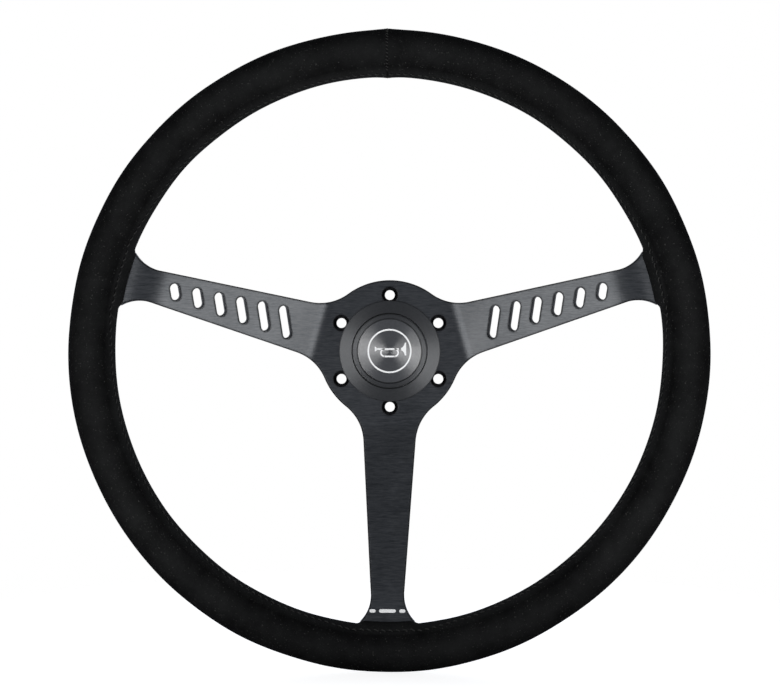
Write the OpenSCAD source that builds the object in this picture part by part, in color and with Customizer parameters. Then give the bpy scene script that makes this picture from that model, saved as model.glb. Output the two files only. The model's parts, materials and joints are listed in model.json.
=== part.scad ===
// Dished three-spoke sport steering wheel with a centre horn button.
// The wheel stands upright: its face looks towards -Y, +Z is up and its axis runs along Y.
// The origin is the middle of the hub's back face, the face that bolts to a steering hub.

/* [Rim] */
// Outside diameter of the rim
wheel_d = 380; // [350:1:390]
// Diameter of the padded grip
grip_d = 28; // [27:0.5:32]
// Distance from the hub's front face to the middle of the rim
dish = 46; // [35:1:52]
// Thickness of the suede cover
cover_t = 1.2; // [1:0.1:1.5]
// Width of the flat ring inside the grip
ring_w = 14; // [12:0.5:15]
// Thickness of the flat ring inside the grip
ring_t = 5; // [4:0.5:6]
// Length of one visible seam stitch
stitch_len = 2.6; // [2:0.1:3]
// Distance from one seam stitch to the next
stitch_pitch = 4.2; // [4:0.1:6]

/* [Spoke plate] */
// Thickness of the plate
plate_t = 4; // [3.5:0.1:4.5]
// Angle of the two side spokes above horizontal, in degrees
spoke_angle = 15.5; // [8:0.5:20]
// Half the width of a spoke where it leaves the hub
spoke_half_in = 16.2; // [14:0.1:17]
// Half the width of a spoke at its narrowest
spoke_half_out = 9.9; // [9:0.1:11]
// Distance from the hub's centre to the first bend
bend_in = 46.5; // [46:0.5:50]
// Distance from the hub's centre to the second bend
bend_out = 145; // [142:0.5:148]
// Radius of the first bend, at the middle of the plate
bend_r_in = 20; // [10:1:20]
// Radius of the second bend, at the middle of the plate
bend_r_out = 52; // [30:1:54]
// Radius of the flare at a spoke's outer end
flare_r = 22; // [18:1:26]
// Width of a slot in a side spoke
slot_w = 5.7; // [5:0.1:7]
// Distance between slots, as seen from the front
slot_pitch = 13; // [12.5:0.1:13.3]
// Lean of the slots against a spoke's cross direction, in degrees
slot_lean = 25.6; // [0:0.1:28]
// Metal left between a slot and the edge of its spoke
slot_margin = 5.8; // [5:0.1:6.2]

/* [Hub] */
// Radius of the hub disc
hub_r = 44.2; // [43:0.1:46]
// Radius of the fillets between hub and spokes
hub_fillet_r = 30; // [24:1:34]
// Diameter of the bolt circle
bolt_circle = 70; // [70:0.5:74]
// Number of hub bolts
bolt_count = 6; // [6:1:6]
// Diameter of a bolt hole
bolt_hole_d = 6.2; // [5.5:0.1:6.4]
// Diameter of a countersink at the front face
sink_d = 10; // [9:0.1:10.4]
// Diameter of the centre hole for the horn button
bore_d = 52; // [52:0.1:52.6]

/* [Horn button] */
// Outside diameter of the bezel ring
bezel_d = 63; // [61:0.1:63]
// Outside diameter of the moving cap
cap_d = 46.2; // [45.8:0.1:46.2]
// Diameter of the round badge plate in the cap
badge_d = 39.8; // [36:0.1:40]
// Travel of the button when it is pressed
travel = 2; // [1:0.1:2]
// Mean radius of the return spring
spring_r = 13; // [12.2:0.1:13.4]
// Number of turns of the return spring
spring_turns = 4; // [3:1:5]

/* [Hidden] */
$fn = 96;
rim_r = wheel_d / 2 - grip_d / 2;       // radius of the grip's centre line
rim_h = plate_t + dish;                 // height of that line over the back face
tube_r = grip_d / 2;
foam_r = tube_r - cover_t - 0.05;
end_h0 = rim_h - plate_t / 2;           // back of a spoke's flat outer end
tab_s = rim_r - 16;                     // where the flare ends and the tab begins
tab_end = rim_r + 5;
slot_n = 6;
slot_first = 67.5;

// side view of a spoke: level hub, a slope between two bends, a level end
rise = dish + plate_t / 2;
slope = atan(rise / (bend_out - bend_in));
bend_start = bend_in - bend_r_in * tan(slope / 2);
level_start = bend_out + bend_r_out * tan(slope / 2);

// front view of a spoke: a straight taper between a hub fillet and a flare
taper_s0 = 56;
taper_s1 = 143;
taper = (spoke_half_in - spoke_half_out) / (taper_s1 - taper_s0);
taper_a = atan(taper);
function half_width(s) = spoke_half_in - taper * (s - taper_s0);
fa = half_width(0) + hub_fillet_r / cos(taper_a);
fq = hub_r + hub_fillet_r;
fillet_s = (fa * taper + sqrt(pow(fa * taper, 2) - (1 + taper * taper) * (fa * fa - fq * fq)))
    / (1 + taper * taper);
fillet_w = fa - taper * fillet_s;
fillet_a = atan2(fillet_w, fillet_s);
flare_s = taper_s1 + flare_r * sin(taper_a);
flare_w = half_width(taper_s1) + flare_r * cos(taper_a);
flare_end = 360 - acos((tab_s - flare_s) / flare_r);
tab_half = flare_w + flare_r * sin(flare_end);
spokes = [spoke_angle, 180 - spoke_angle, 270];

// heights in the horn button, measured from the hub's back face towards the driver
face_h = plate_t;
cap_r = cap_d / 2;
cap_top = face_h + 4.6;
cap_skirt = -4.3;
base_h = -12;
seat_top = base_h + 0.75;
contact_h = -3.2;
pad_top = contact_h - 0.8 - travel - 0.2;
screw_r = 21.6;

function arc(cx, cy, r, a0, a1, n) =
    [for (i = [0:n]) [cx + r * cos(a0 + (a1 - a0) * i / n), cy + r * sin(a0 + (a1 - a0) * i / n)]];
function turned(p, a) = [for (q = p) [q[0] * cos(a) - q[1] * sin(a), q[0] * sin(a) + q[1] * cos(a)]];
function backwards(p) = [for (i = [len(p) - 1:-1:0]) p[i]];
function mirrored(p) = [for (q = p) [q[0], -q[1]]];

// stands a part that was drawn lying on its back upright
module upright() { rotate([90, 0, 0]) children(); }
module turn(angle = 360) { rotate_extrude(angle = angle) children(); }
module at_spokes() { for (a = spokes) rotate([0, 0, a]) children(); }

// one long edge of a spoke: hub fillet, taper, flare, and the tab inside the grip
spoke_edge = concat(
    arc(fillet_s, fillet_w, hub_fillet_r, 180 + fillet_a, 270 - taper_a, 20),
    arc(flare_s, flare_w, flare_r, 270 - taper_a, flare_end, 14),
    [[tab_end, tab_half]]
);
spoke_outline = concat(mirrored(spoke_edge), backwards(spoke_edge));

// front view of the whole plate
module plate_outline() {
    polygon(concat(
        turned(spoke_outline, spokes[0]),
        arc(0, 0, hub_r, spokes[0] + fillet_a + 3, spokes[1] - fillet_a - 3, 22),
        turned(spoke_outline, spokes[1]),
        arc(0, 0, hub_r, spokes[1] + fillet_a + 3, spokes[2] - fillet_a - 3, 9),
        turned(spoke_outline, spokes[2]),
        arc(0, 0, hub_r, spokes[2] + fillet_a + 3, 360 + spokes[0] - fillet_a - 3, 9)
    ));
}

// all the space on the driver's side of a spoke's front face, or of its back face
module above_face(front) {
    side = front ? plate_t / 2 : -plate_t / 2;
    translate([0, 200, 0]) rotate([90, 0, 0]) linear_extrude(height = 400) polygon(concat(
        [[-200, rim_h + 40], [-200, plate_t / 2 + side]],
        arc(bend_start, plate_t / 2 + bend_r_in, bend_r_in - side, 270, 270 + slope, 14),
        arc(level_start, rim_h - bend_r_out, bend_r_out + side, 90 + slope, 90, 16),
        [[200, rim_h + side], [200, rim_h + 40]]
    ));
}

module slot(s) {
    reach = (half_width(s) - slot_margin - slot_w / 2) / cos(slot_lean);
    translate([bend_in, 0, plate_t / 2]) rotate([0, -slope, 0])
        translate([(s - bend_in) / cos(slope), 0, 0]) rotate([0, 0, -slot_lean]) {
            for (k = [-1, 1]) translate([0, k * reach, 0]) cylinder(d = slot_w, h = 12, center = true);
            cube([slot_w, 2 * reach, 12], center = true);
        }
}

module rivet_places() {
    for (k = [-1, 1]) rotate([0, 0, k * 3]) translate([rim_r, 0, 0]) children();
}

module slots() {
    for (i = [0:slot_n - 1]) slot(slot_first + i * slot_pitch);
}

module spoke_plate() {
    color([0.13, 0.14, 0.15]) upright() difference() {
        intersection() {
            translate([0, 0, -5]) linear_extrude(height = rim_h + 15) plate_outline();
            rotate([0, 0, spokes[0]]) above_face(false);
            rotate([0, 0, spokes[1]]) above_face(false);
            rotate([0, 0, spokes[2]]) above_face(false);
        }
        intersection() {
            rotate([0, 0, spokes[0]]) above_face(true);
            rotate([0, 0, spokes[1]]) above_face(true);
            rotate([0, 0, spokes[2]]) above_face(true);
        }
        translate([0, 0, -1]) cylinder(d = bore_d, h = plate_t + 2);
        for (i = [0:bolt_count - 1]) rotate([0, 0, 30 + i * 360 / bolt_count])
            translate([bolt_circle / 2, 0, 0]) {
                translate([0, 0, -1]) cylinder(d = bolt_hole_d, h = plate_t + 2, $fn = 48);
                translate([0, 0, plate_t - (sink_d - bolt_hole_d) / 2])
                    cylinder(d1 = bolt_hole_d, d2 = sink_d + 1, h = (sink_d + 1 - bolt_hole_d) / 2, $fn = 48);
            }
        rotate([0, 0, spoke_angle]) slots();
        mirror([1, 0, 0]) rotate([0, 0, spoke_angle]) slots();
        at_spokes() rivet_places() translate([0, 0, end_h0 - 3])
            cylinder(r = 2.55, h = plate_t + 6, $fn = 32);
    }
}

// flat ring that the spokes are riveted to, behind their ends
module armature_ring() {
    color([0.62, 0.63, 0.65]) upright() difference() {
        turn() translate([rim_r - ring_w / 2, end_h0 - ring_t]) square([ring_w, ring_t]);
        at_spokes() rivet_places() translate([0, 0, end_h0 - ring_t - 2])
            cylinder(r = 2.55, h = ring_t + 4, $fn = 32);
    }
}

module spoke_rivets() {
    color([0.7, 0.7, 0.72]) upright() at_spokes() rivet_places() {
        translate([0, 0, end_h0 - ring_t - 1.5]) cylinder(r1 = 3.2, r2 = 4, h = 1.5, $fn = 32);
        translate([0, 0, end_h0 - ring_t]) cylinder(r = 2.5, h = ring_t + plate_t, $fn = 32);
        translate([0, 0, end_h0 + plate_t]) cylinder(r1 = 4, r2 = 3, h = 1.5, $fn = 32);
    }
}

module spoke_end_slot(half, gap) {
    inner = bend_out + 4;
    translate([inner, -half, end_h0 - gap]) cube([tab_end - inner + 0.4, 2 * half, plate_t + 2 * gap]);
}

// the moulded foam of the grip, with room for the ring, the spoke ends and the rivets
module rim_foam() {
    color([0.2, 0.2, 0.2]) upright() difference() {
        turn() translate([rim_r, rim_h]) circle(r = foam_r, $fn = 48);
        turn() translate([rim_r - ring_w / 2 - 0.05, end_h0 - ring_t - 0.05])
            square([ring_w + 0.1, ring_t + 0.1]);
        at_spokes() {
            spoke_end_slot(tab_half + 0.05, 0.05);
            rivet_places() translate([0, 0, end_h0 - ring_t - 1.6])
                cylinder(r = 4.1, h = ring_t + plate_t + 3.2, $fn = 32);
        }
    }
}

module rim_cover() {
    color([0.06, 0.06, 0.06]) upright() difference() {
        turn() translate([rim_r, rim_h]) difference() {
            circle(r = tube_r, $fn = 64);
            circle(r = tube_r - cover_t, $fn = 64);
        }
        at_spokes() spoke_end_slot(tab_half + 0.3, 0.3);
    }
}

// padded suede lip around the place where a spoke enters the grip
module collar(a) {
    color([0.06, 0.06, 0.06]) upright() difference() {
        rotate([0, 0, a]) translate([rim_r - 4.5, 0, rim_h]) rotate([90, 0, 0])
            cylinder(r = tube_r - 2, h = 37, center = true, $fn = 180);
        rotate([0, 0, a - 12]) rotate_extrude(angle = 24, $fn = 480) translate([rim_r, rim_h])
            circle(r = tube_r + 0.03, $fn = 180);
        rotate([0, 0, a]) spoke_end_slot(tab_half + 0.3, 0.05);
        rotate([0, 0, a]) translate([rim_r, -40, rim_h - 20]) cube([30, 80, 40]);
    }
}

module collar_left() { collar(spokes[1]); }
module collar_right() { collar(spokes[0]); }
module collar_bottom() { collar(spokes[2]); }

// the seam's tilt towards the driver and its distance from the grip's centre line: it climbs over each lip
function near_spoke(a) = min([for (s = spokes) abs((a - s + 540) % 360 - 180)]);
function seam_tilt(a) = 20 + 16 / (1 + pow(near_spoke(a) / 11, 6));
function lip_r(a, e) = e * cos(seam_tilt(a)) + sqrt(pow(tube_r - 2, 2) - pow(e * sin(seam_tilt(a)), 2));
function seam_r(a) = near_spoke(a) > 7.5 ? tube_r
    : max(tube_r, 0.2 + lip_r(a, 4.5 - rim_r * (1 - cos(near_spoke(a)))));
module seam(a0, a1) {
    n = floor((a1 - a0) * PI / 180 * (rim_r - tube_r) / stitch_pitch);
    color([0.1, 0.1, 0.1]) upright() for (i = [0:n - 1]) {
        a = a0 + (a1 - a0) * (i + 0.5) / n;
        rotate([0, 0, a]) translate([rim_r, 0, rim_h]) rotate([0, seam_tilt(a), 0])
            translate([-seam_r(a) - 0.8, -stitch_len / 2, -0.45]) cube([0.72, stitch_len, 0.9]);
    }
}

module seam_thread_top() { seam(spokes[0], spokes[1]); }
module seam_thread_left() { seam(spokes[1], spokes[2]); }
module seam_thread_right() { seam(spokes[2] - 360, spokes[0]); }

// row of stitches around the grip where the two ends of the cover meet
module joint_thread() {
    n = 30;
    color([0.1, 0.1, 0.1]) upright() for (i = [0:n - 1])
        rotate([0, 0, 90]) translate([rim_r, 0, rim_h]) rotate([0, 40 + i * 315 / n, 0])
            translate([-tube_r - 0.6, -1.1, -0.4]) cube([0.55, 2.2, 0.8]);
}

// horn button, fixed parts

module horn_bezel() {
    color([0.2, 0.2, 0.21]) upright() turn() polygon([
        [cap_r + 0.3, -2], [24.3, -2], [24.3, face_h], [bezel_d / 2 - 0.5, face_h],
        [bezel_d / 2, face_h + 0.5], [bezel_d / 2, face_h + 1], [bezel_d / 2 - 0.4, face_h + 1.4],
        [cap_r + 0.7, face_h + 3.5], [cap_r + 0.3, face_h + 3.2]
    ]);
}

module screw_places() {
    for (i = [0:2]) rotate([0, 0, 60 + i * 120]) translate([screw_r, 0, 0]) children();
}

module horn_sleeve() {
    color([0.08, 0.08, 0.08]) upright() difference() {
        union() {
            turn() polygon([
                [24.35, -17], [25.7, -17], [25.7, face_h - 0.05], [24.35, face_h - 0.05],
                [24.35, base_h + 1.4], [19.9, base_h + 1.4], [19.9, base_h], [24.35, base_h]
            ]);
            screw_places() translate([0, 0, base_h + 0.6]) cylinder(r = 2.4, h = 3, $fn = 32);
        }
        screw_places() translate([0, 0, base_h - 1]) cylinder(r = 1.3, h = 3.9, $fn = 24);
    }
}

// thin leaf springs between the sleeve and the wall of the plate's centre hole
module sleeve_clips() {
    color([0.7, 0.7, 0.7]) upright() for (i = [0:2]) rotate([0, 0, 78 + i * 120]) turn(24) polygon([
        [25.72, -9], [25.88, -9], [25.97, -0.6], [25.97, 2.4], [25.88, 3.4], [25.76, 3.4], [25.84, 0.9],
        [25.72, -7.4]
    ]);
}

module contact_base() {
    color([0.25, 0.16, 0.1]) upright() difference() {
        translate([0, 0, base_h - 3]) cylinder(r = 24.2, h = 2.95);
        screw_places() translate([0, 0, base_h - 4]) cylinder(r = 1.4, h = 6, $fn = 24);
        translate([0, 0, base_h - 4]) cylinder(r = 1.6, h = 6, $fn = 24);
        translate([12.5, -3.3, base_h - 4]) cube([1.2, 6.6, 6]);
    }
}

module base_screws() {
    color([0.75, 0.75, 0.75]) upright() screw_places() difference() {
        union() {
            translate([0, 0, base_h - 3.1]) cylinder(r = 1.25, h = 5.5, $fn = 24);
            translate([0, 0, base_h - 4.5]) cylinder(r1 = 1.9, r2 = 2.3, h = 1.45, $fn = 24);
        }
        translate([0, 0, base_h - 4.3]) cube([3, 0.6, 1], center = true);
        translate([0, 0, base_h - 4.3]) cube([0.6, 3, 1], center = true);
    }
}

module spring_seat() {
    color([0.75, 0.6, 0.25]) upright() turn() translate([spring_r - 1.5, base_h]) square([3.3, 0.75]);
}

module fixed_contact() {
    color([0.75, 0.6, 0.25]) upright() turn() polygon([
        [0, base_h - 4.7], [2.2, base_h - 4.7], [2.4, base_h - 3.95], [1.5, base_h - 3.95], [1.5, base_h],
        [6, base_h], [6, base_h + 1.2], [3, base_h + 1.2], [3, pad_top - 0.4], [2.6, pad_top], [0, pad_top]
    ]);
}

module terminal_live() {
    color([0.75, 0.6, 0.25]) upright() difference() {
        union() {
            translate([-9, -3.15, base_h - 3.9]) cube([12, 6.3, 0.8]);
            translate([-9, -3.15, base_h - 12.5]) cube([0.8, 6.3, 9]);
        }
        translate([0, 0, base_h - 5]) cylinder(r = 1.55, h = 4, $fn = 24);
        translate([-10, 0, base_h - 9]) rotate([0, 90, 0]) cylinder(r = 0.8, h = 3, $fn = 16);
    }
}

module terminal_earth() {
    color([0.75, 0.6, 0.25]) upright() difference() {
        translate([12.7, -3.15, base_h - 12.5]) cube([0.8, 6.3, 12.45]);
        translate([12, 0, base_h - 9]) rotate([0, 90, 0]) cylinder(r = 0.8, h = 3, $fn = 16);
    }
}

// horn button, moving parts

module horn_cap() {
    color([0.16, 0.16, 0.17]) upright() turn() polygon([
        [0, contact_h], [5.5, contact_h], [5.5, cap_top - 3.2], [cap_r - 1.8, cap_top - 3.2],
        [cap_r - 1.8, cap_skirt], [cap_r, cap_skirt], [cap_r, -3.55], [cap_r - 0.9, -3.55],
        [cap_r - 0.9, -2.4], [cap_r, -2.4], [cap_r, cap_top - 0.8], [cap_r - 0.25, cap_top - 0.25],
        [cap_r - 0.8, cap_top], [badge_d / 2 + 0.6, cap_top], [badge_d / 2 + 0.15, cap_top - 0.4],
        [badge_d / 2 + 0.15, cap_top - 1.4], [0, cap_top - 1.4]
    ]);
}

module badge_plate() {
    color([0.4, 0.4, 0.4]) upright() turn() polygon([
        [0, cap_top - 1.38], [badge_d / 2, cap_top - 1.38], [badge_d / 2, cap_top - 0.7],
        [badge_d / 2 - 0.4, cap_top - 0.4], [0, cap_top - 0.3]
    ]);
}

module cap_retainer() {
    color([0.7, 0.7, 0.7]) upright() rotate([0, 0, 102]) turn(336)
        translate([cap_r - 0.85, -3.5]) square([1.7, 1.05]);
}

module moving_contact() {
    color([0.75, 0.6, 0.25]) upright() translate([0, 0, contact_h - 0.8]) cylinder(r = 10, h = 0.78);
}

// wire spring: short straight pieces along a helix
module return_spring() {
    n = spring_turns * 18;
    lo = seat_top + 0.65;
    hi = cap_top - 3.9;
    color([0.72, 0.72, 0.74]) upright() for (i = [0:n - 1]) hull() for (k = [i, i + 1])
        rotate([0, 0, k * 20]) translate([spring_r, 0, lo + (hi - lo) * k / n]) sphere(r = 0.6, $fn = 8);
}

spoke_plate();
armature_ring();
spoke_rivets();
rim_foam();
rim_cover();
collar_left();
collar_right();
collar_bottom();
seam_thread_top();
seam_thread_left();
seam_thread_right();
joint_thread();
horn_bezel();
horn_sleeve();
sleeve_clips();
contact_base();
base_screws();
spring_seat();
fixed_contact();
terminal_live();
terminal_earth();
horn_cap();
badge_plate();
cap_retainer();
moving_contact();
return_spring();
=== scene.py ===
"""Looks for the dished sport steering wheel: suede grip with its seams, brushed plate, turned horn button."""

import json
import math
import random

import bmesh
import bpy
import numpy as np
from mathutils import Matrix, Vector
from mathutils.bvhtree import BVHTree


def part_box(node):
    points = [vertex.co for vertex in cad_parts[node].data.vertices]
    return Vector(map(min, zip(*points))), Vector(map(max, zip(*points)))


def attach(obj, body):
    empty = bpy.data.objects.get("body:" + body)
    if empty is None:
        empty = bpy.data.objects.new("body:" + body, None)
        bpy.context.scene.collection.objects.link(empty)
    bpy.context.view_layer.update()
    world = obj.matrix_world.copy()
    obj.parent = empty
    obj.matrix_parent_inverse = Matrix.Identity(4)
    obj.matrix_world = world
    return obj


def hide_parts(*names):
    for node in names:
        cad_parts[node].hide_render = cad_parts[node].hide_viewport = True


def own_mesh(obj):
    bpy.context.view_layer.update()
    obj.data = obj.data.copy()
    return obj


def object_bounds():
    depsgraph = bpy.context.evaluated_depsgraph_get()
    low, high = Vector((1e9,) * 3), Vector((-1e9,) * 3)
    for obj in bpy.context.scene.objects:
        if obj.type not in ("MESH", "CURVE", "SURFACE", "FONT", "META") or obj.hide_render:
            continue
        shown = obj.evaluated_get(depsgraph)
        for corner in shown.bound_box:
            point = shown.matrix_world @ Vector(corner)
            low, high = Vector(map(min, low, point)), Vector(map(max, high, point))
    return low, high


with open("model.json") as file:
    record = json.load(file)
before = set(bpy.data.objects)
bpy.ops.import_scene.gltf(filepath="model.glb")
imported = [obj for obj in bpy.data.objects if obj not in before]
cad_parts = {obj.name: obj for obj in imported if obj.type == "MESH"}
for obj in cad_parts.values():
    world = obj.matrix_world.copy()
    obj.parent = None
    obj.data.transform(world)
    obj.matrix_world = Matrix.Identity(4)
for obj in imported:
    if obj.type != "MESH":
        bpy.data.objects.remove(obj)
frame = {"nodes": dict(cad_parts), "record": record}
cad_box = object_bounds()

MM = 0.001
WHEEL = "wheel"
BUTTON = "horn_button"

# ---------------------------------------------------------------- sizes, all from the frame

cover_low, cover_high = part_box("rim_cover")
TUBE_R = (cover_high[1] - cover_low[1]) / 2
OUTER_R = (cover_high[2] - cover_low[2]) / 2
RIM_R = OUTER_R - TUBE_R
RIM_Y = (cover_high[1] + cover_low[1]) / 2
BEZEL_BACK_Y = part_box("horn_bezel")[1][1]             # the camera aims at this plane, inside the hub
BADGE_LOW, BADGE_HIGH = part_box("badge_plate")
BADGE_R = (BADGE_HIGH[0] - BADGE_LOW[0]) / 2
BADGE_FACE_Y = BADGE_LOW[1]


def direction_of(node):
    """Angle of a node round the wheel's axis, seen from the driver, in degrees."""
    low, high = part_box(node)
    return math.degrees(math.atan2((low[2] + high[2]) / 2, (low[0] + high[0]) / 2)) % 360


SPOKES = [direction_of(name) for name in ("collar_right", "collar_left", "collar_bottom")]


# ---------------------------------------------------------------- materials

class Shading:
    """A new material and short ways to add nodes to it."""

    def __init__(self, name, color, metallic=0.0, roughness=0.5, **sockets):
        self.material = bpy.data.materials.new(name)
        self.material.use_nodes = True
        self.tree = self.material.node_tree
        self.shader = self.tree.nodes["Principled BSDF"]
        self.set("Base Color", (*color, 1.0))
        self.set("Metallic", metallic)
        self.set("Roughness", roughness)
        for key, value in sockets.items():
            self.set(key.replace("_", " "), value)
        self.place = self.node("ShaderNodeTexCoord").outputs["Object"]

    def set(self, socket, value):
        self.shader.inputs[socket].default_value = value

    def node(self, kind, **inputs):
        made = self.tree.nodes.new(kind)
        for key, value in inputs.items():
            self.feed(made.inputs[key.replace("_", " ")], value)
        return made

    def feed(self, socket, value):
        if isinstance(value, bpy.types.NodeSocket):
            self.tree.links.new(value, socket)
        else:
            socket.default_value = value

    def into(self, socket, value):
        self.feed(self.shader.inputs[socket], value)

    def math(self, operation, a, b=0.0, c=None):
        made = self.tree.nodes.new("ShaderNodeMath")
        made.operation = operation
        self.feed(made.inputs[0], a)
        self.feed(made.inputs[1], b)
        if c is not None:
            self.feed(made.inputs[2], c)
        return made.outputs[0]

    def scaled(self, x, y, z):
        made = self.tree.nodes.new("ShaderNodeVectorMath")
        made.operation = "MULTIPLY"
        self.feed(made.inputs[0], self.place)
        made.inputs[1].default_value = (x, y, z)
        return made.outputs[0]

    def noise(self, vector, scale=1.0, detail=2.0, roughness=0.5):
        return self.node("ShaderNodeTexNoise", Vector=vector, Scale=scale, Detail=detail,
                         Roughness=roughness).outputs["Fac"]

    def remap(self, value, low, high, to_low=0.0, to_high=1.0):
        made = self.node("ShaderNodeMapRange", Value=value)
        made.inputs["From Min"].default_value = low
        made.inputs["From Max"].default_value = high
        made.inputs["To Min"].default_value = to_low
        made.inputs["To Max"].default_value = to_high
        return made.outputs["Result"]

    def blend(self, factor, a, b):
        made = self.tree.nodes.new("ShaderNodeMix")
        made.data_type = "RGBA"
        self.feed(made.inputs[0], factor)
        for socket, value in ((made.inputs[6], a), (made.inputs[7], b)):
            self.feed(socket, value if isinstance(value, bpy.types.NodeSocket) else (*value, 1.0))
        return made.outputs[2]

    def bump(self, height, strength, distance, under=None):
        made = self.node("ShaderNodeBump", Height=height, Strength=strength, Distance=distance)
        if under is not None:
            self.feed(made.inputs["Normal"], under)
        return made.outputs["Normal"]

    def split(self):
        return self.node("ShaderNodeSeparateXYZ", Vector=self.place).outputs

    def facing_driver(self):
        """1 on faces square to the wheel's axis, 0 on faces along it."""
        normal = self.tree.nodes.new("ShaderNodeNewGeometry").outputs["Normal"]
        return self.math("ABSOLUTE", self.node("ShaderNodeSeparateXYZ", Vector=normal).outputs["Y"])

    def edge_mask(self, reach):
        """1 within reach of a sharp edge, 0 elsewhere, and the normal rounded over that edge."""
        rounded = self.tree.nodes.new("ShaderNodeBevel")
        rounded.samples = 6
        rounded.inputs["Radius"].default_value = reach
        dot = self.tree.nodes.new("ShaderNodeVectorMath")
        dot.operation = "DOT_PRODUCT"
        surface = self.tree.nodes.new("ShaderNodeNewGeometry")
        self.tree.links.new(rounded.outputs["Normal"], dot.inputs[0])
        self.tree.links.new(surface.outputs["Normal"], dot.inputs[1])
        return self.remap(dot.outputs["Value"], 0.94, 0.998, 1.0, 0.0), rounded.outputs["Normal"]

    def axis_radius(self, across="Z"):
        """Distance from the wheel's axis, or from the vertical with across="Y"."""
        xyz = self.split()
        return self.math("SQRT", self.math("ADD", self.math("MULTIPLY", xyz["X"], xyz["X"]),
                                           self.math("MULTIPLY", xyz[across], xyz[across])))

    def brushed_along_x(self):
        """Straight brush lines along X: highlights spread across them, along Z."""
        self.into("Tangent", self.node("ShaderNodeCombineXYZ", X=0.0, Y=0.0, Z=1.0).outputs[0])

    def turned_round_axis(self):
        """Turning lines in circles round the wheel's axis: highlights spread outwards, across them."""
        xyz = self.split()
        self.into("Tangent", self.node("ShaderNodeCombineXYZ", X=xyz["X"], Z=xyz["Z"]).outputs[0])


def suede():
    s = Shading("suede_black", (0.008, 0.008, 0.008), roughness=0.95, Specular_IOR_Level=0.03)
    patches = s.noise(s.place, 34, 3, 0.6)
    strokes = s.noise(s.scaled(160, 60, 160), 1.0, 4, 0.65)
    fibres = s.noise(s.place, 2600, 3, 0.7)
    nap = s.math("ADD", s.math("MULTIPLY", patches, 0.45), s.math("MULTIPLY", strokes, 0.3))
    nap = s.math("ADD", nap, s.math("MULTIPLY", fibres, 0.35))
    radius = s.axis_radius()
    # Painted shading: the crown of the tube is painted lighter and its inner and outer sides darker, as light
    # from the front falls on it.
    painted_crown_shading = s.remap(s.math("ABSOLUTE", s.math("SUBTRACT", radius, RIM_R)), 2 * MM, TUBE_R, 0.10, -0.20)
    # Lighter in a band along the inner edge of the tube, by the seam.
    inner_edge_lift = s.remap(radius, RIM_R - 12.5 * MM, RIM_R - 9.5 * MM, 0.34, 0.0)
    tone = s.remap(s.math("ADD", nap, s.math("ADD", painted_crown_shading, inner_edge_lift)), 0.38, 0.78)
    cloth = s.blend(tone, (0.0030, 0.0030, 0.0031), (0.0125, 0.0128, 0.0128))
    specks = s.remap(s.noise(s.place, 1150, 2, 0.5), 0.66, 0.73, 0.0, 0.8)
    s.into("Base Color", s.blend(specks, cloth, (0.05, 0.05, 0.047)))
    s.into("Roughness", s.remap(fibres, 0.3, 0.7, 0.86, 1.0))
    coarse = s.bump(s.noise(s.place, 420, 4, 0.6), 0.35, 0.25 * MM)
    s.into("Normal", s.bump(fibres, 0.7, 0.12 * MM, coarse))
    return s.material


def thread():
    s = Shading("waxed_thread", (0.008, 0.008, 0.0085), roughness=0.7, Specular_IOR_Level=0.06)
    twist = s.noise(s.scaled(5200, 5200, 5200), 1.0, 2)
    s.into("Base Color", s.blend(twist, (0.011, 0.011, 0.011), (0.040, 0.040, 0.038)))
    s.into("Roughness", s.remap(twist, 0.3, 0.7, 0.6, 0.8))
    s.into("Normal", s.bump(twist, 0.5, 0.08 * MM))
    return s.material


def brushed_plate():
    """Straight brush lines along X on the faces; cut edges, holes and countersinks stay matt black. The dark
    band along each edge is partly that matt black and partly painted shade.
    """
    s = Shading("anodised_brushed", (0.095, 0.097, 0.101), metallic=1.0, roughness=0.44)
    s.set("Anisotropic", 0.9)
    s.brushed_along_x()
    fine = s.noise(s.scaled(170, 300, 1800), 1.0, 4, 0.7)
    broad = s.noise(s.scaled(45, 120, 700), 1.0, 3, 0.6)
    clouds = s.noise(s.place, 28, 2, 0.5)
    lines = s.math("ADD", s.math("MULTIPLY", fine, 0.75), s.math("MULTIPLY", broad, 0.25))
    mixed = s.math("ADD", s.math("MULTIPLY", lines, 0.8), s.math("MULTIPLY", clouds, 0.2))
    tone = s.remap(mixed, 0.36, 0.64)
    face = s.blend(tone, (0.054, 0.057, 0.061), (0.146, 0.150, 0.155))
    # A band along every edge and inside corner is painted dark: partly the cut edge's own matt black, partly
    # painted shade.
    edge_matt_and_shade, rounded = s.edge_mask(2.0 * MM)
    flat = s.math("MULTIPLY", s.remap(s.facing_driver(), 0.74, 0.83), s.math("SUBTRACT", 1.0, edge_matt_and_shade))
    s.into("Base Color", s.blend(flat, (0.012, 0.012, 0.013), face))
    rough = s.remap(lines, 0.35, 0.65, 0.39, 0.49)
    s.into("Roughness", s.math("ADD", rough, s.math("MULTIPLY", s.math("SUBTRACT", 1.0, flat), 0.2)))
    s.into("Normal", s.bump(lines, 0.12, 0.02 * MM, rounded))
    return s.material


def turned_metal(name, dark, light, roughness, anisotropic, ring_size):
    """Fine turning circles round the wheel's axis, about ring_size apart."""
    s = Shading(name, light, metallic=1.0, roughness=roughness)
    s.set("Anisotropic", anisotropic)
    s.turned_round_axis()
    rings = s.noise(s.node("ShaderNodeCombineXYZ", X=s.axis_radius()).outputs[0], 1.0 / ring_size, 3, 0.6)
    grains = s.noise(s.place, 700, 3, 0.6)
    mixed = s.math("ADD", s.math("MULTIPLY", rings, 0.7), s.math("MULTIPLY", grains, 0.3))
    tone = s.remap(mixed, 0.34, 0.66)
    s.into("Base Color", s.blend(tone, dark, light))
    s.into("Roughness", s.remap(tone, 0.0, 1.0, roughness - 0.04, roughness + 0.05))
    s.into("Normal", s.bump(rings, 0.18, 0.02 * MM))
    return s.material


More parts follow.
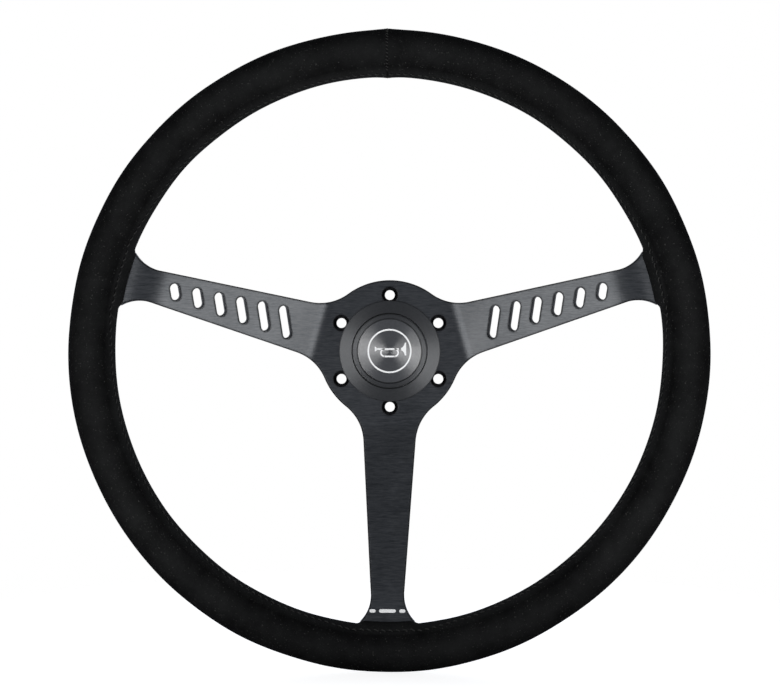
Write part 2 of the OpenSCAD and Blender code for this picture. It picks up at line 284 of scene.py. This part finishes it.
def plain(name, color, metallic, roughness, grain, variation=0.25, bump=0.3, depth=0.05 * MM):
    """A finish with grain of that size, uneven tone and a light bump."""
    s = Shading(name, color, metallic=metallic, roughness=roughness)
    grains = s.noise(s.place, 1.0 / grain, 4, 0.6)
    patches = s.noise(s.place, 60, 2, 0.5)
    mixed = s.math("ADD", s.math("MULTIPLY", grains, 0.6), s.math("MULTIPLY", patches, 0.4))
    tone = s.remap(mixed, 0.35, 0.65)
    dark = tuple(c * (1 - variation) for c in color)
    light = tuple(min(1.0, c * (1 + variation)) for c in color)
    s.into("Base Color", s.blend(tone, dark, light))
    s.into("Roughness", s.remap(grains, 0.3, 0.7, max(0.05, roughness - 0.07), min(1.0, roughness + 0.07)))
    s.into("Normal", s.bump(grains, bump, depth))
    return s.material


def print_ink(name, color):
    s = Shading(name, color, roughness=0.45, Specular_IOR_Level=0.4)
    speck = s.noise(s.place, 1800, 3, 0.6)
    s.into("Base Color", s.blend(s.remap(speck, 0.3, 0.75), tuple(c * 0.9 for c in color), color))
    s.into("Roughness", s.remap(speck, 0.3, 0.7, 0.38, 0.55))
    s.into("Normal", s.bump(speck, 0.1, 0.01 * MM))
    return s.material


MATERIALS = {
    "black_anodised": brushed_plate(),
    "suede": suede(),
    "thread": thread(),
    "dark_anodised": turned_metal("anodised_turned", (0.066, 0.067, 0.069), (0.098, 0.1, 0.102),
                                  roughness=0.46, anisotropic=0.8, ring_size=0.3 * MM),
    "spun_aluminium": turned_metal("spun_dark", (0.14, 0.14, 0.14), (0.22, 0.22, 0.22),
                                   roughness=0.36, anisotropic=0.97, ring_size=0.22 * MM),
    "black_plastic": plain("moulded_black", (0.022, 0.022, 0.023),
                           metallic=0.0, roughness=0.5, grain=0.5 * MM),
    "spring_steel": plain("spring_steel", (0.55, 0.55, 0.56),
                          metallic=1.0, roughness=0.3, grain=0.8 * MM, variation=0.12, bump=0.1),
    "insulator": plain("laminate_board", (0.13, 0.065, 0.03),
                       metallic=0.0, roughness=0.55, grain=0.6 * MM, variation=0.35),
    "contact_brass": plain("contact_brass", (0.72, 0.52, 0.22),
                           metallic=1.0, roughness=0.28, grain=0.9 * MM, variation=0.15, bump=0.1),
    "bare_aluminium": plain("mill_aluminium", (0.62, 0.63, 0.64),
                            metallic=1.0, roughness=0.4, grain=0.7 * MM, variation=0.1, bump=0.15),
    "foam": plain("moulded_foam", (0.03, 0.03, 0.03),
                  metallic=0.0, roughness=0.9, grain=0.9 * MM, variation=0.3, bump=0.5),
    "ink": print_ink("pad_print_white", (0.86, 0.86, 0.85)),
}

slots = {part["node"]: part["material_slot"] for part in frame["record"]["subparts"]}
for node_name, node_object in frame["nodes"].items():
    for place in node_object.material_slots:
        place.material = MATERIALS[slots[node_name]]


# ---------------------------------------------------------------- small tools for pieces

def piece(name, verts, faces, finish, body, stands_for=(), smooth=True):
    """Makes a mesh piece that rides on a body, takes a finish and may stand for CAD nodes."""
    mesh = bpy.data.meshes.new(name)
    mesh.from_pydata([tuple(map(float, v)) for v in verts], [], [tuple(f) for f in faces])
    mesh.validate()
    if smooth:
        mesh.polygons.foreach_set("use_smooth", [True] * len(mesh.polygons))
    made = bpy.data.objects.new(name, mesh)
    bpy.context.scene.collection.objects.link(made)
    mesh.materials.append(MATERIALS[finish])
    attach(made, body)
    if stands_for:
        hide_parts(*stands_for)
    return made


def soft_step(x, low, high):
    t = np.clip((x - low) / (high - low), 0.0, 1.0)
    return t * t * (3 - 2 * t)


def ripple(a, b, seed, waves=9):
    """Smooth random field over two angles that closes on itself, with a standard deviation of about 1."""
    rng = random.Random(seed)
    total = np.zeros(np.broadcast(a, b).shape)
    for _ in range(waves):
        total = total + math.sqrt(2 / waves) * np.cos(
            rng.randint(2, 26) * a + rng.randint(-2, 2) * b + rng.uniform(0, 2 * math.pi))
    return total


# ---------------------------------------------------------------- shape of the suede grip

SEAM_LOW, SEAM_RISE, SEAM_SPREAD = 20.0, 16.0, 11.0   # tilt of the seam towards the driver, degrees
LIP_SHIFT, LIP_R = 4.5 * MM, TUBE_R - 2 * MM          # padded lip around each spoke's end
LIP_HALF, LIP_FADE = 13.5 * MM, 18.5 * MM
JOINT_AT = 90.0                                       # the cover's ends meet at the top
JOINT_PLACES = 42                                     # stitch places once round the grip at the joint
STITCH_PITCH = 4.2 * MM
GROOVE_MM = 0.42                                      # how far a pressed-in seam reaches to each side

# Depth of a seam's groove and what a pucker adds to it, height of the rolls beside it and what a pucker
# takes off them, then how far out the rolls are and how wide. All in mm.
SEAM_PRESS = (0.50, 0.25, 0.20, 0.17, 1.25, 0.75)
JOINT_PRESS = (0.62, 0.25, 0.16, 0.14, 1.2, 0.7)


def half_turn(degrees):
    """An angle brought between -180 and 180 degrees."""
    return (degrees + 540) % 360 - 180


def spoke_distance(degrees):
    """Degrees to the nearest spoke."""
    return np.min([np.abs(half_turn(degrees - s)) for s in SPOKES], axis=0)


def joint_distance(degrees):
    """Millimetres along the rim to the joint at the top, with a sign."""
    return np.radians(half_turn(degrees - JOINT_AT)) * RIM_R / MM


def seam_tilt(degrees):
    """The CAD seam's own line: level along the inside, climbing over each spoke's end."""
    return SEAM_LOW + SEAM_RISE / (1 + (spoke_distance(degrees) / SEAM_SPREAD) ** 6)


def grip_radius(degrees, tilt):
    """Distance from the grip's centre line to the suede, before the seams are pressed in."""
    phi = np.radians(tilt)
    theta = np.radians(degrees)
    inset, uneven = 0.18 * MM, 0.12 * MM
    joint_swell, swell_reach_mm = 0.45 * MM, 6.5
    base = TUBE_R - inset + uneven * ripple(theta, phi, seed=4)
    base = base + joint_swell * np.exp(-(joint_distance(degrees) / swell_reach_mm) ** 2)
    sine = np.clip(LIP_SHIFT * np.sin(phi), -LIP_R, LIP_R)
    lip = LIP_SHIFT * np.cos(phi) + np.sqrt(LIP_R ** 2 - sine ** 2)
    across = np.radians(spoke_distance(degrees)) * (RIM_R - TUBE_R)
    share = 1 - soft_step(across, LIP_HALF, LIP_FADE)
    grow = np.maximum(lip - base, 0.0)
    return base + share * grow


def pressed(across, pull, deep, deepened, high, lowered, rolls_at, rolls_wide):
    """Groove and side rolls of a seam, in mm. The pull is 1 at a pucker and 0 halfway between two."""
    groove = -(deep + deepened * pull) * np.exp(-(across / GROOVE_MM) ** 2)
    rolls = (high - lowered * pull) * np.exp(-((np.abs(across) - rolls_at) / rolls_wide) ** 2)
    return groove, rolls


def press_seams(degrees, tilt, radius):
    """Presses the inner seam and the top joint into the surface, each with puckers a stitch pitch apart.

    The puckers have the pitch of the stitches but aren't lined up with them."""
    away = np.radians(tilt - seam_tilt(degrees)) * TUBE_R / MM
    along = np.radians(degrees) * (RIM_R - TUBE_R)
    pull = 0.5 + 0.5 * np.cos(2 * math.pi * along / STITCH_PITCH)
    joint_pull = 0.5 + 0.5 * np.cos(np.radians(tilt) * JOINT_PLACES)
    groove, rolls = pressed(away, pull, *SEAM_PRESS)
    joint_groove, joint_rolls = pressed(joint_distance(degrees), joint_pull, *JOINT_PRESS)
    return radius + ((groove + joint_groove) + (rolls + joint_rolls)) * MM


def grip_point(degrees, tilt, radius):
    theta, phi = np.radians(degrees), np.radians(tilt)
    ring = RIM_R - radius * np.cos(phi)
    return np.stack([ring * np.cos(theta), RIM_Y - radius * np.sin(phi), ring * np.sin(theta)], axis=-1)


def spread(total, marks, fine, coarse, reach):
    """Places from 0 to total, fine apart near the marks and coarse apart elsewhere, as a closed round."""
    places, at = [], 0.0
    while at < total:
        places.append(at)
        gap = min(abs((at - m + total / 2) % total - total / 2) for m in marks)
        at += fine + (coarse - fine) * min(1.0, max(0.0, gap - reach) / (3 * reach))
    return np.array(places[:-1])


def suede_grip():
    length = 2 * math.pi * RIM_R / MM
    top = JOINT_AT / 360 * length
    degrees = spread(length, [top], fine=0.3, coarse=1.2, reach=2.5) / length * 360
    round_mm = 2 * math.pi * TUBE_R / MM
    offsets = spread(round_mm, [0.0], fine=0.28, coarse=1.9, reach=2.2) / round_mm * 360
    theta, offset = np.meshgrid(degrees, offsets, indexing="ij")
    tilt = seam_tilt(theta) + offset
    radius = press_seams(theta, tilt, grip_radius(theta, tilt))
    points = grip_point(theta, tilt, radius)
    n, m = theta.shape
    i, j = np.meshgrid(np.arange(n), np.arange(m), indexing="ij")
    i2, j2 = (i + 1) % n, (j + 1) % m
    faces = np.stack([i * m + j, i * m + j2, i2 * m + j2, i2 * m + j], axis=-1).reshape(-1, 4)
    made = piece("suede_grip", points.reshape(-1, 3), faces.tolist(), "suede", WHEEL,
                 ("rim_cover", "collar_left", "collar_right", "collar_bottom"))
    return made


# ---------------------------------------------------------------- thread

def tube(path, radius, sides=8):
    """Verts and faces of a thread or wire along a path, with narrowed, closed ends."""
    path = [Vector(p) for p in path]
    verts, faces = [], []
    count = len(path)
    up = None
    for k, p in enumerate(path):
        ahead = (path[min(k + 1, count - 1)] - path[max(k - 1, 0)]).normalized()
        if up is None:
            up = ahead.orthogonal().normalized()
        up = (up - ahead * up.dot(ahead)).normalized()
        side = ahead.cross(up)
        swell = radius * (0.45 if k in (0, count - 1) else 1.0)
        for q in range(sides):
            a = 2 * math.pi * q / sides
            verts.append(p + (up * math.cos(a) + side * math.sin(a)) * swell)
    for k in range(count - 1):
        for q in range(sides):
            a, b = k * sides + q, k * sides + (q + 1) % sides
            faces.append((a, b, b + sides, a + sides))
    faces.append(tuple(range(sides - 1, -1, -1)))
    faces.append(tuple((count - 1) * sides + q for q in range(sides)))
    return verts, faces


def stitch_row(name, places, node, thread_r, sunk, arch):
    """One stitch for each (start, end) pair of (degrees, tilt) places; sunk and arch are in mm."""
    verts, faces = [], []
    rng = random.Random(name)
    for (d0, t0), (d1, t1) in places:
        wobble = rng.uniform(-0.06, 0.06)
        path = []
        for k in range(7):
            u = k / 6
            d, t = d0 + (d1 - d0) * u, t0 + (t1 - t0) * u
            lift = (arch * math.sin(math.pi * u) ** 0.6 - sunk + wobble) * MM
            r = float(grip_radius(np.array(d), np.array(t))) + lift
            path.append(grip_point(np.array(d), np.array(t), np.array(r)))
        v, f = tube(path, thread_r)
        faces += [tuple(i + len(verts) for i in face) for face in f]
        verts += v
    return piece(name, verts, faces, "thread", WHEEL, (node,))


def inner_seam(name, start, end, node):
    """Slanted stitches that cross the seam from one edge of the suede to the other."""
    arc = math.radians(end - start) * (RIM_R - TUBE_R)
    count = int(arc / STITCH_PITCH)
    half = math.degrees(1.45 * MM / (RIM_R - TUBE_R))
    lean = math.degrees(0.62 * MM / TUBE_R)
    places = []
    for k in range(count):
        mid = start + (end - start) * (k + 0.5) / count
        seam = float(seam_tilt(np.array(mid)))
        places.append(((mid - half, seam - lean), (mid + half, seam + lean)))
    return stitch_row(name, places, node, thread_r=0.36 * MM, sunk=0.6, arch=0.85)


def top_joint():
    """Stitches across the joint where the two ends of the suede meet."""
    half = math.degrees(1.0 * MM / RIM_R)
    lean = math.degrees(0.55 * MM / TUBE_R)
    seam = float(seam_tilt(np.array(JOINT_AT)))
    places = []
    for k in range(2, JOINT_PLACES - 1):
        mid = seam + 360 * k / JOINT_PLACES
        places.append(((JOINT_AT - half, mid - lean), (JOINT_AT + half, mid + lean)))
    return stitch_row("joint_stitches", places, "joint_thread", thread_r=0.32 * MM, sunk=0.8, arch=0.75)


def loose_end(name, degrees):
    """A short tail of thread that stands out from the inner seam."""
    seam = float(seam_tilt(np.array(degrees)))
    run, curl, drop = 1.1, 0.25, 14                   # degrees
    path = []
    for k in range(9):
        u = k / 8
        d = degrees + u * run + curl * math.sin(3 * u)
        lift = (-0.3 + 2.3 * u - 0.6 * u * u) * MM
        r = float(grip_radius(np.array(d), np.array(seam))) + lift
        path.append(grip_point(np.array(d), np.array(seam - drop * u), np.array(r)))
    v, f = tube(path, 0.2 * MM, sides=6)
    return piece(name, v, f, "thread", WHEEL)


# ---------------------------------------------------------------- spring

def wire_spring():
    """Smooth wire spring with closed ends, built at rest length; the real spring shortens by the button's
    travel when pressed.
    """
    low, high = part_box("return_spring")
    wire_r, turns, flat_share, steps = 0.6 * MM, 4, 0.18, 144
    coil_r = (high[0] - low[0]) / 2 - wire_r
    length = high[1] - low[1]
    path = []
    for k in range(steps + 1):
        u = k / steps
        rise = min(1.0, max(0.0, (u - flat_share) / (1 - 2 * flat_share)))
        y = high[1] - wire_r - (length - 2 * wire_r) * rise
        angle = 2 * math.pi * turns * u
        path.append((coil_r * math.cos(angle), y, coil_r * math.sin(angle)))
    verts, faces = tube(path, wire_r, sides=12)
    made = piece("spring_wire", verts, faces, "spring_steel", WHEEL, ("return_spring",))
    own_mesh(made)


# ---------------------------------------------------------------- prints

def ray_to(node):
    """Function that drops a point onto the driver's side of a CAD node, along +Y."""
    source = frame["nodes"][node]
    tree = BVHTree.FromPolygons([v.co.copy() for v in source.data.vertices],
                                [tuple(p.vertices) for p in source.data.polygons])

    def land(x, z):
        hit = tree.ray_cast(Vector((x, -1.0, z)), Vector((0, 1, 0)))[0]
        return hit.y
    return land


def print_shapes(name, outlines, land, body):
    """Flat inked shapes, each a closed outline of (x, z), just proud of the surface under them."""
    proud, buried = 0.05 * MM, 0.02 * MM
    shape = bmesh.new()
    for outline in outlines:
        front = [shape.verts.new((x, land(x, z) - proud, z)) for x, z in outline]
        back = [shape.verts.new((x, land(x, z) + buried, z)) for x, z in outline]
        shape.faces.new(front)
        shape.faces.new(back[::-1])
        for k in range(len(outline)):
            j = (k + 1) % len(outline)
            shape.faces.new((front[j], front[k], back[k], back[j]))
    bmesh.ops.recalc_face_normals(shape, faces=shape.faces)
    bmesh.ops.triangulate(shape, faces=shape.faces)
    verts = [v.co.copy() for v in shape.verts]
    faces = [[v.index for v in f.verts] for f in shape.faces]
    shape.free()
    return piece(name, verts, faces, "ink", body, smooth=False)


def bar(x, z, width, height, steps=6):
    """Outline of a bar with round ends."""
    r, half = height / 2, width / 2 - height / 2
    right = [(x + half + r * math.cos(a), z + r * math.sin(a))
             for a in (math.pi * (k / steps - 0.5) for k in range(steps + 1))]
    left = [(x - half + r * math.cos(a), z + r * math.sin(a))
            for a in (math.pi * (k / steps + 0.5) for k in range(steps + 1))]
    return right + left


def ring_pieces(radius, width, count=72):
    """A ring as short four-cornered pieces."""
    out = []
    for k in range(count):
        a, b = 2 * math.pi * k / count, 2 * math.pi * (k + 1) / count
        inner, outer = radius - width / 2, radius + width / 2
        corners = ((inner, a), (outer, a), (outer, b), (inner, b))
        out.append([(r * math.cos(t), r * math.sin(t)) for r, t in corners])
    return out


def horn_mark():
    """Plain bugle pictogram inside one ring, drawn in shares of the badge's radius, k."""
    k = BADGE_R
    bell = [(0.30, 0.025), (0.36, 0.035), (0.41, 0.06), (0.45, 0.115), (0.48, 0.20), (0.52, 0.20),
            (0.52, -0.20), (0.48, -0.20), (0.45, -0.115), (0.41, -0.06), (0.36, -0.035), (0.30, -0.025)]
    shapes = [
        [(x * k, (z + 0.06) * k) for x, z in bell],
        bar(-0.03 * k, 0.06 * k, 0.78 * k, 0.05 * k),
        [(x * k, z * k) for x, z in ((-0.46, 0.14), (-0.46, -0.02), (-0.40, 0.02), (-0.40, 0.10))],
        bar(0.0, -0.17 * k, 0.36 * k, 0.05 * k),
    ]
    for side in (-1, 1):
        mid_x, mid_z = side * 0.155 * k, -0.055 * k
        for step in range(8):
            a, b = math.pi * (step / 8 - 0.5), math.pi * ((step + 1) / 8 - 0.5)
            shapes.append([(mid_x + side * r * math.cos(t), mid_z + r * math.sin(t)) for r, t in (
                (0.09 * k, a), (0.14 * k, a), (0.14 * k, b), (0.09 * k, b))])
    return shapes + ring_pieces(0.665 * k, 0.05 * k)


def spoke_dashes():
    """Three plain dashes at the foot of the lower spoke."""
    above_grip = 8.6 * MM
    z = -(RIM_R - TUBE_R) + above_grip
    long, short, high, gap = 10 * MM, 3.6 * MM, 2.0 * MM, 2.0 * MM
    offset = long / 2 + gap + short / 2
    return [bar(0.0, z, long, high), bar(-offset, z, short, high), bar(offset, z, short, high)]


# ---------------------------------------------------------------- build the pieces

suede_grip()
inner_seam("seam_stitches_top", SPOKES[0], SPOKES[1], "seam_thread_top")
inner_seam("seam_stitches_left", SPOKES[1], SPOKES[2], "seam_thread_left")
inner_seam("seam_stitches_right", SPOKES[2] - 360, SPOKES[0], "seam_thread_right")
top_joint()
loose_end("thread_end_left", SPOKES[1] + 7.6)         # degrees below each side spoke's middle
loose_end("thread_end_right", SPOKES[0] - 8.6)
wire_spring()
print_shapes("badge_print", horn_mark(), lambda x, z: BADGE_FACE_Y, BUTTON)
print_shapes("spoke_print", spoke_dashes(), ray_to("spoke_plate"), WHEEL)


# ---------------------------------------------------------------- stage, light and camera

FRONT_GLOW, SIDE_GLOW, BACK_GLOW = 0.42, 0.10, 0.75


def stage_floor():
    """Pale floor just under the wheel, which fades into the white background."""
    size, level = 0.4, cad_box[0][2] - 1 * MM
    mesh = bpy.data.meshes.new("floor")
    corners = [(-size, -size, level), (size, -size, level), (size, size, level), (-size, size, level)]
    mesh.from_pydata(corners, [], [(0, 1, 2, 3)])
    s = Shading("floor_pale", (0.92, 0.92, 0.92), roughness=0.9, Specular_IOR_Level=0.0)
    grain = s.noise(s.place, 5, 2)
    s.into("Base Color", s.blend(grain, (0.90, 0.90, 0.90), (0.93, 0.93, 0.93)))
    fade_from, fade_to = 0.16, 0.36
    s.into("Alpha", s.remap(s.axis_radius("Y"), fade_from, fade_to, 1.0, 0.0))
    seen = s.tree.nodes.new("ShaderNodeLightPath").outputs["Is Camera Ray"]
    s.set("Emission Color", (1.0, 1.0, 1.0, 1.0))
    s.into("Emission Strength", s.math("MULTIPLY", seen, 0.8))
    mesh.materials.append(s.material)
    floor = bpy.data.objects.new("floor", mesh)
    bpy.context.scene.collection.objects.link(floor)


def world_light():
    """White wherever the camera looks. As a light, brightest behind the wheel and dimmest at its sides."""
    world = bpy.data.worlds.new("studio")
    bpy.context.scene.world = world
    world.use_nodes = True
    nodes, links = world.node_tree.nodes, world.node_tree.links
    nodes.clear()
    way = nodes.new("ShaderNodeTexCoord")
    parts = nodes.new("ShaderNodeSeparateXYZ")
    links.new(way.outputs["Generated"], parts.inputs[0])

    def step(low, high, from_value, to_value):
        made = nodes.new("ShaderNodeMapRange")
        made.interpolation_type = "SMOOTHSTEP"
        links.new(parts.outputs["Y"], made.inputs["Value"])
        made.inputs["From Min"].default_value = low
        made.inputs["From Max"].default_value = high
        made.inputs["To Min"].default_value = from_value
        made.inputs["To Max"].default_value = to_value
        return made.outputs["Result"]

    total = nodes.new("ShaderNodeMath")
    links.new(step(-0.98, -0.45, FRONT_GLOW, SIDE_GLOW), total.inputs[0])
    links.new(step(0.0, 0.8, 0.0, BACK_GLOW), total.inputs[1])
    lit = nodes.new("ShaderNodeBackground")
    lit.inputs["Color"].default_value = (0.92, 0.97, 1.08, 1)
    links.new(total.outputs[0], lit.inputs["Strength"])
    seen = nodes.new("ShaderNodeBackground")
    seen.inputs["Color"].default_value = (1, 1, 1, 1)
    seen.inputs["Strength"].default_value = 1.0
    ray = nodes.new("ShaderNodeLightPath")
    mix = nodes.new("ShaderNodeMixShader")
    links.new(ray.outputs["Is Camera Ray"], mix.inputs[0])
    links.new(lit.outputs[0], mix.inputs[1])
    links.new(seen.outputs[0], mix.inputs[2])
    out = nodes.new("ShaderNodeOutputWorld")
    links.new(mix.outputs[0], out.inputs["Surface"])


def soft_light(name, place, aim, width, height, watts):
    data = bpy.data.lights.new(name, "AREA")
    data.shape = "RECTANGLE"
    data.size, data.size_y, data.energy = width, height, watts
    lamp = bpy.data.objects.new(name, data)
    bpy.context.scene.collection.objects.link(lamp)
    lamp.location = place
    lamp.rotation_euler = (Vector(aim) - Vector(place)).to_track_quat("-Z", "Y").to_euler()


def camera():
    """Straight in front of the hub, a little to the right of it."""
    distance, aside, above = 0.885, 0.025, 0.0006
    data = bpy.data.cameras.new("camera")
    data.sensor_width = 36.0
    data.lens = 65.0
    data.clip_start = 0.01
    eye = bpy.data.objects.new("camera", data)
    bpy.context.scene.collection.objects.link(eye)
    place = Vector((aside, BEZEL_BACK_Y - distance, above))
    aim = Vector((0.0, BEZEL_BACK_Y, above))
    eye.location = place
    eye.rotation_euler = (aim - place).to_track_quat("-Z", "Y").to_euler()
    bpy.context.scene.camera = eye


stage_floor()
world_light()
soft_light("key_left", (-0.80, -1.05, -0.12), (0, 0, 0), width=0.75, height=1.0, watts=10.0)
soft_light("key_right", (0.78, -1.05, -0.32), (0, 0, 0), width=0.75, height=1.0, watts=11.0)
camera()
bpy.context.scene.view_settings.view_transform = "Standard"
